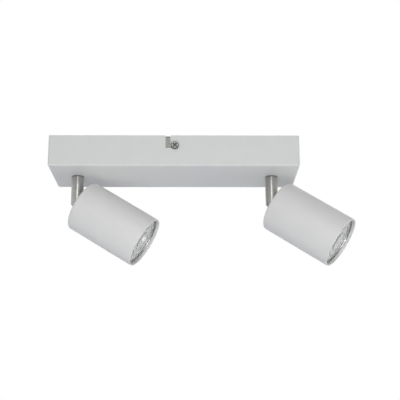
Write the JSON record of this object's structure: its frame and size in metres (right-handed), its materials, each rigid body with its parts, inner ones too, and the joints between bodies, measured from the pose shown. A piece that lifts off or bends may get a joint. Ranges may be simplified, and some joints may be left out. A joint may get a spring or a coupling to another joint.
{
  "type": "spotlight bar",
  "caption": "Surface bar light: a white tray canopy on a mounting bracket, with swivelling nickel stems and tilting white cylinder spots that hold twist-lock reflector lamps.",
  "frame": {"origin": "centre of the mounting plane, between the bracket's two slotted fixing holes", "axes": "+Z out of the mounting side towards the ceiling or wall it is fixed to, X along the bar, -Y the side seen in the picture"},
  "size_m": [0.3185, 0.0901, 0.1324],
  "materials": {
    "white_coat": "satin",
    "zinc_plate": "satin",
    "zinc_screw": "satin",
    "satin_nickel": "satin",
    "spring_steel": "satin",
    "brass_clamp": "satin",
    "copper_tin": "satin",
    "block_plastic": "matte",
    "black_plastic": "matte",
    "live_lead": "satin",
    "neutral_lead": "satin",
    "earth_lead": "satin",
    "sleeve": "matte",
    "holder_ceramic": "matte",
    "lamp_ceramic": "satin",
    "reflector": "polished",
    "clear_glass": "gloss",
    "burner_glass": "gloss",
    "pin_metal": "satin"
  },
  "bodies": {
    "canopy": {"canopy": "white_coat", "canopy_studs": "zinc_plate", "canopy_earth_nut": "zinc_screw", "canopy_screws": "zinc_screw", "mounting_bracket": "zinc_plate", "terminal_block": "block_plastic", "terminal_clamps": "brass_clamp", "terminal_screws": "zinc_screw", "bracket_screws": "zinc_screw", "ring_terminals": "copper_tin", "leads_live": "live_lead", "leads_neutral": "neutral_lead", "leads_earth": "earth_lead"},
    "stem_left": {"stem_left": "satin_nickel", "swivel_washer_left": "black_plastic", "stop_washer_left": "zinc_plate", "spring_washer_left": "spring_steel", "swivel_nut_left": "zinc_screw", "bore_bush_left": "black_plastic", "stem_leads_left": "sleeve", "pivot_screw_left": "satin_nickel", "pivot_nut_left": "satin_nickel", "fork_washers_left": "black_plastic"},
    "head_left": {"head_shell_left": "white_coat", "hinge_bracket_left": "satin_nickel", "pivot_spacer_left": "zinc_plate", "bracket_rivets_left": "satin_nickel", "holder_strap_left": "zinc_plate", "lampholder_left": "holder_ceramic", "holder_screws_left": "zinc_screw", "head_leads_left": "sleeve", "lamp_base_left": "lamp_ceramic", "lamp_pins_left": "pin_metal", "lamp_reflector_left": "reflector", "lamp_glass_left": "clear_glass", "lamp_burner_left": "burner_glass"},
    "stem_right": {"stem_right": "satin_nickel", "swivel_washer_right": "black_plastic", "stop_washer_right": "zinc_plate", "spring_washer_right": "spring_steel", "swivel_nut_right": "zinc_screw", "bore_bush_right": "black_plastic", "stem_leads_right": "sleeve", "pivot_screw_right": "satin_nickel", "pivot_nut_right": "satin_nickel", "fork_washers_right": "black_plastic"},
    "head_right": {"head_shell_right": "white_coat", "hinge_bracket_right": "satin_nickel", "pivot_spacer_right": "zinc_plate", "bracket_rivets_right": "satin_nickel", "holder_strap_right": "zinc_plate", "lampholder_right": "holder_ceramic", "holder_screws_right": "zinc_screw", "head_leads_right": "sleeve", "lamp_base_right": "lamp_ceramic", "lamp_pins_right": "pin_metal", "lamp_reflector_right": "reflector", "lamp_glass_right": "clear_glass", "lamp_burner_right": "burner_glass"}
  },
  "joints": [
    {"name": "swivel_left", "type": "hinge", "parent": "canopy", "child": "stem_left", "pos_m": [-0.1033, 0, -0.033], "axis": [0, 0, 1], "range_deg": [-158.2, 171.8]},
    {"name": "tilt_left", "type": "hinge", "parent": "stem_left", "child": "head_left", "pos_m": [-0.1033, 0, -0.061], "axis": [0.1184, 0.993, 0], "range_deg": [-32.1, 147.9]},
    {"name": "swivel_right", "type": "hinge", "parent": "canopy", "child": "stem_right", "pos_m": [0.1033, 0, -0.033], "axis": [0, 0, 1], "range_deg": [-147.9, 182.1]},
    {"name": "tilt_right", "type": "hinge", "parent": "stem_right", "child": "head_right", "pos_m": [0.1033, 0, -0.061], "axis": [0.294, 0.9558, 0], "range_deg": [-34.2, 145.8]}
  ]
}
